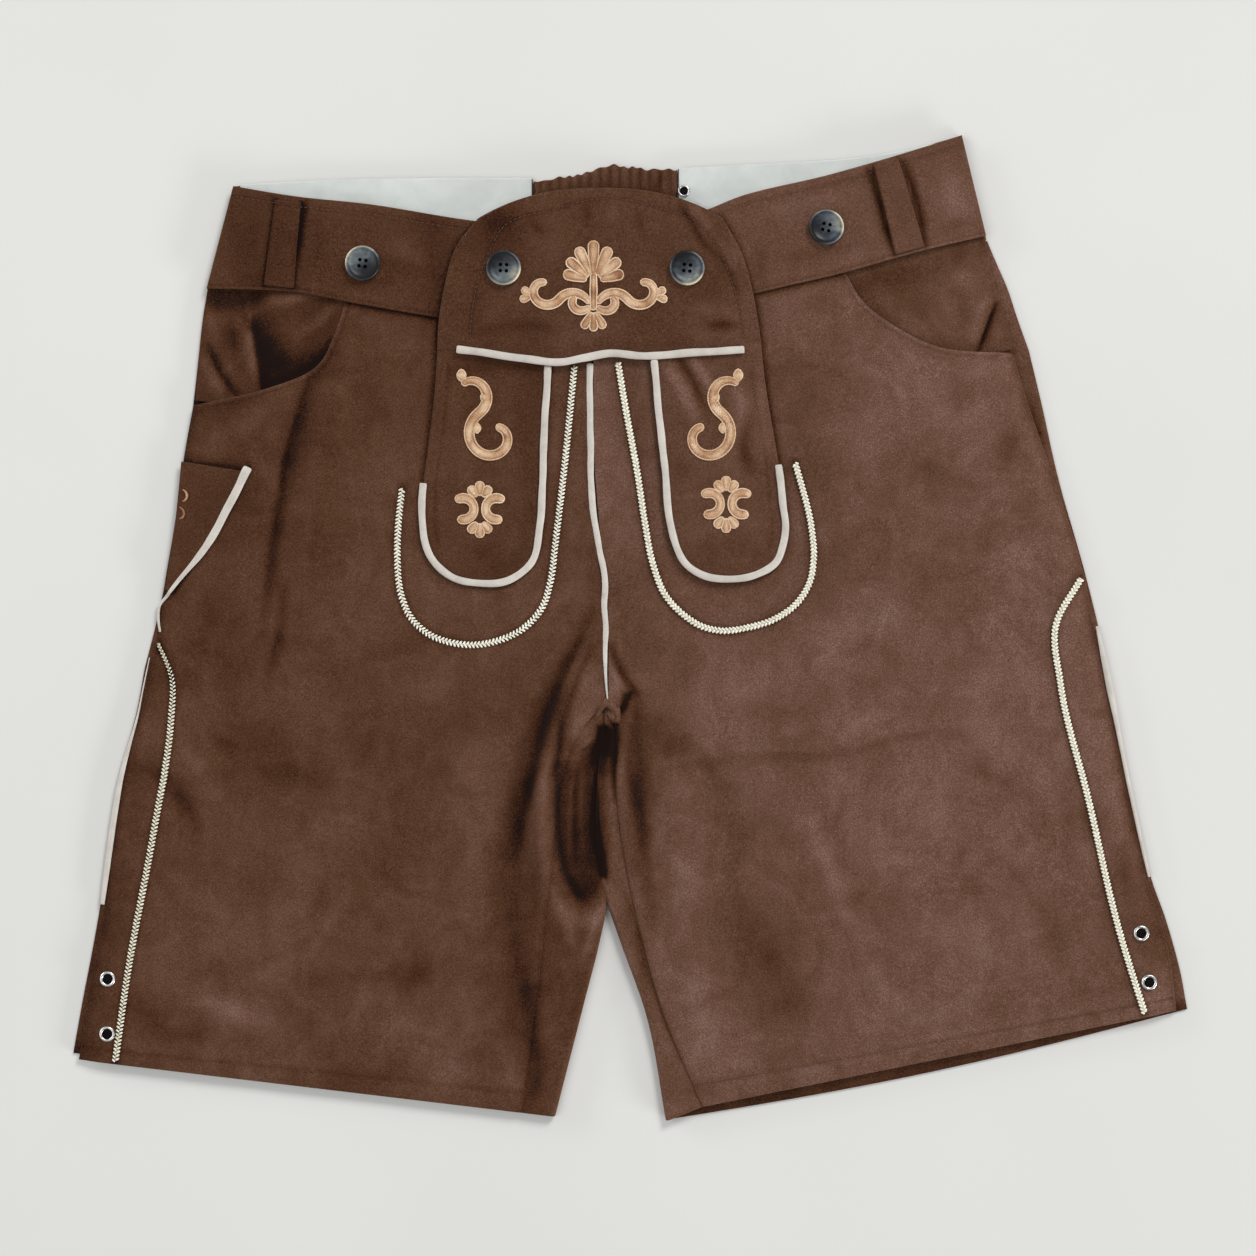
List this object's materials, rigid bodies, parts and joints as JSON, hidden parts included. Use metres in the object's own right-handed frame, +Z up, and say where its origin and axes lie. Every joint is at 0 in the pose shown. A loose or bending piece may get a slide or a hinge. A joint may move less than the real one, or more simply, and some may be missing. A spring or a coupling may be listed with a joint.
{
  "type": "lederhosen",
  "caption": "Short suede breeches with a buttoned drop-front flap, pale piping, braid and scroll embroidery, lying flat with the front up.",
  "frame": {"origin": "centre of the bounding box in X and Y, on the surface that the garment lies on", "axes": "+Z up out of the front of the garment, +Y towards the waist, +X towards the wearer's left leg"},
  "size_m": [0.67, 0.592, 0.0119],
  "materials": {
    "suede": "napped brown faux suede",
    "suede_bib": "napped darker brown faux suede of the flap and knife pocket",
    "facing": "plain off-white cotton facing",
    "piping": "smooth pale grey piping",
    "braid": "cream chain-stitched braid",
    "embroidery": "bronze satin-stitch thread with paler edging",
    "thread": "dark brown topstitching thread",
    "horn": "polished grey-blue horn effect",
    "eyelet": "polished nickel"
  },
  "bodies": {
    "root": {"front_r": "suede", "front_l": "suede", "back_r": "suede", "back_l": "suede", "waistband_front_r": "suede", "waistband_front_l": "suede", "waistband_back_r": "suede", "waistband_back_l": "suede", "back_gusset": "suede", "belt_loop_r": "suede", "belt_loop_l": "suede", "pocket_facing_r": "suede", "pocket_facing_l": "suede", "bib_yoke": "suede_bib", "bib_panel_r": "suede_bib", "bib_panel_l": "suede_bib", "knife_pocket": "suede_bib", "facing_r": "facing", "facing_l": "facing", "piping_welt": "piping", "piping_bib_r": "piping", "piping_bib_l": "piping", "piping_centre": "piping", "piping_knife": "piping", "piping_side_r": "piping", "piping_side_l": "piping", "braid_bib_r": "braid", "braid_bib_l": "braid", "braid_side_r": "braid", "braid_side_l": "braid", "button_waist_r": "horn", "button_waist_l": "horn", "button_bib_r": "horn", "button_bib_l": "horn", "eyelet_hem_r_upper": "eyelet", "eyelet_hem_r_lower": "eyelet", "eyelet_hem_l_upper": "eyelet", "eyelet_hem_l_lower": "eyelet", "eyelet_back_l": "eyelet"}
  },
  "joints": []
}
